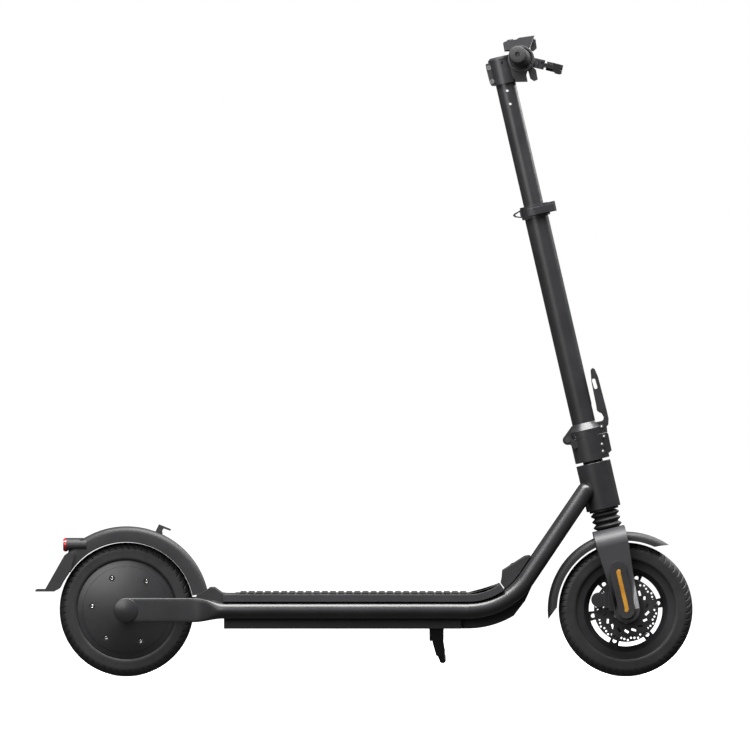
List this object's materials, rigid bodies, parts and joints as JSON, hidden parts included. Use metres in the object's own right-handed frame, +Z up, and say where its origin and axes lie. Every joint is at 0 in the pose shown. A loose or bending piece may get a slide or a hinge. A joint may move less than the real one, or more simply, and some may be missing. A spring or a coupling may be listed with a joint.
{
  "type": "electric kick scooter",
  "caption": "Folding electric kick scooter with a hub motor, front suspension, disc brake, telescopic stem, ribbed deck and kickstand.",
  "frame": {"origin": "on the ground, midway along the length and width", "axes": "+X forward, +Y to the rider's left, +Z up"},
  "size_m": [1.247, 0.5022, 1.2164],
  "materials": {
    "satin_black": "satin powder coat",
    "dark_metal": "satin",
    "black_plastic": "fine grain",
    "tray_plastic": "fine grain",
    "mat_rubber": "matt",
    "boot_rubber": "matt",
    "grip_rubber": "matt",
    "tyre": "matt",
    "steel": "brushed",
    "bright_steel": "polished",
    "rotor_steel": "dark brushed",
    "alloy": "machined",
    "cell_wrap": "shrink wrap",
    "red_lens": "clear red",
    "amber": "reflective",
    "lamp_lens": "clear",
    "button": "gloss",
    "copper": "enamelled copper"
  },
  "bodies": {
    "frame": {"head_tube": "satin_black", "frame_tube_right": "satin_black", "frame_tube_left": "satin_black", "headset_bearings": "steel", "battery_tray": "tray_plastic", "battery_pack": "cell_wrap", "controller": "alloy", "deck_plate": "satin_black", "deck_mat": "mat_rubber", "front_cover": "black_plastic", "charge_port": "black_plastic", "rear_block": "black_plastic", "rear_fender": "black_plastic", "fender_hook": "black_plastic", "plate_holder": "black_plastic", "tail_lamp_housing": "black_plastic", "tail_lamp_lens": "red_lens", "motor_stator": "copper", "axle_covers": "satin_black", "kickstand_bracket": "dark_metal"},
    "charge_cap": {"charge_cap": "boot_rubber"},
    "kickstand": {"kickstand_leg": "dark_metal"},
    "rear_wheel": {"motor_shell": "satin_black", "motor_covers": "satin_black", "cover_screws": "bright_steel", "rear_tyre": "tyre"},
    "steerer": {"steerer_tube": "dark_metal", "fold_base": "satin_black", "base_pins": "bright_steel", "bellows": "boot_rubber", "suspension_spring": "steel"},
    "fork": {"fork_legs": "satin_black", "fork_slider": "alloy", "front_fender": "black_plastic", "front_axle": "steel", "brake_caliper": "dark_metal", "reflector_bases": "black_plastic", "reflector_strips": "amber"},
    "front_wheel": {"front_rim": "satin_black", "front_tyre": "tyre", "front_bearings": "steel", "brake_rotor": "rotor_steel", "rotor_bolts": "steel"},
    "stem": {"stem_tube": "satin_black", "stem_collar": "dark_metal", "lever_pin": "bright_steel"},
    "latch_lever": {"latch_lever": "dark_metal"},
    "collar_lever": {"collar_lever": "dark_metal"},
    "upper_stem": {"upper_tube": "satin_black", "stem_head": "satin_black", "stem_bolts": "steel", "handlebar": "dark_metal", "grips": "grip_rubber", "display_housing": "black_plastic", "headlight": "lamp_lens", "brake_perch": "dark_metal", "throttle_housing": "black_plastic"},
    "mode_button": {"mode_button": "button"},
    "brake_lever": {"brake_lever": "dark_metal"},
    "throttle": {"throttle_paddle": "black_plastic"}
  },
  "joints": [
    {"name": "steering", "type": "hinge", "parent": "frame", "child": "steerer", "pos_m": [0.49903, 0, 0.12759], "axis": [-0.225, 0, 0.9744], "range_deg": [-60, 60]},
    {"name": "suspension", "type": "slide", "parent": "steerer", "child": "fork", "axis": [-0.225, 0, 0.9744], "range_m": [0, 0.02], "stiffness_N_per_m": 6000, "springref_m": -0.03, "deforming": ["suspension_spring", "bellows"]},
    {"name": "front_wheel_spin", "type": "hinge", "parent": "fork", "child": "front_wheel", "pos_m": [0.4965, 0, 0.127], "axis": [0, 1, 0], "continuous": true},
    {"name": "rear_wheel_spin", "type": "hinge", "parent": "frame", "child": "rear_wheel", "pos_m": [-0.4515, 0, 0.127], "axis": [0, 1, 0], "continuous": true},
    {"name": "stem_fold", "type": "hinge", "parent": "steerer", "child": "stem", "pos_m": [0.38636, 0, 0.44846], "axis": [0, -1, 0], "range_deg": [0, 95]},
    {"name": "latch_turn", "type": "hinge", "parent": "stem", "child": "latch_lever", "pos_m": [0.45079, 0, 0.47524], "axis": [0, 1, 0], "range_deg": [0, 100]},
    {"name": "height_adjust", "type": "slide", "parent": "stem", "child": "upper_stem", "axis": [-0.225, 0, 0.9744], "range_m": [-0.2, 0]},
    {"name": "collar_lever_turn", "type": "hinge", "parent": "stem", "child": "collar_lever", "pos_m": [0.35604, -0.021, 0.89098], "axis": [-0.225, 0, 0.9744], "range_deg": [0, 140]},
    {"name": "brake_pull", "type": "hinge", "parent": "upper_stem", "child": "brake_lever", "pos_m": [0.33615, 0.104, 1.16601], "axis": [0.2079, 0, 0.9781], "range_deg": [0, 20], "stiffness_Nm_per_rad": 1, "springref_deg": -28.65},
    {"name": "throttle_push", "type": "hinge", "parent": "upper_stem", "child": "throttle", "pos_m": [0.29703, 0, 1.16883], "axis": [0, -1, 0], "range_deg": [0, 35], "stiffness_Nm_per_rad": 0.3, "springref_deg": -22.92},
    {"name": "mode_press", "type": "slide", "parent": "upper_stem", "child": "mode_button", "axis": [0.2079, 0, -0.9781], "range_m": [0, 0.0015], "stiffness_N_per_m": 600, "springref_m": -0.002},
    {"name": "kickstand_fold", "type": "hinge", "parent": "frame", "child": "kickstand", "pos_m": [0.1375, 0.036, 0.079], "axis": [0, 0.8192, 0.5736], "range_deg": [0, 85]},
    {"name": "charge_cap_open", "type": "hinge", "parent": "frame", "child": "charge_cap", "pos_m": [0.285, 0.0615, 0.192], "axis": [-1, 0, 0], "range_deg": [0, 90]}
  ]
}
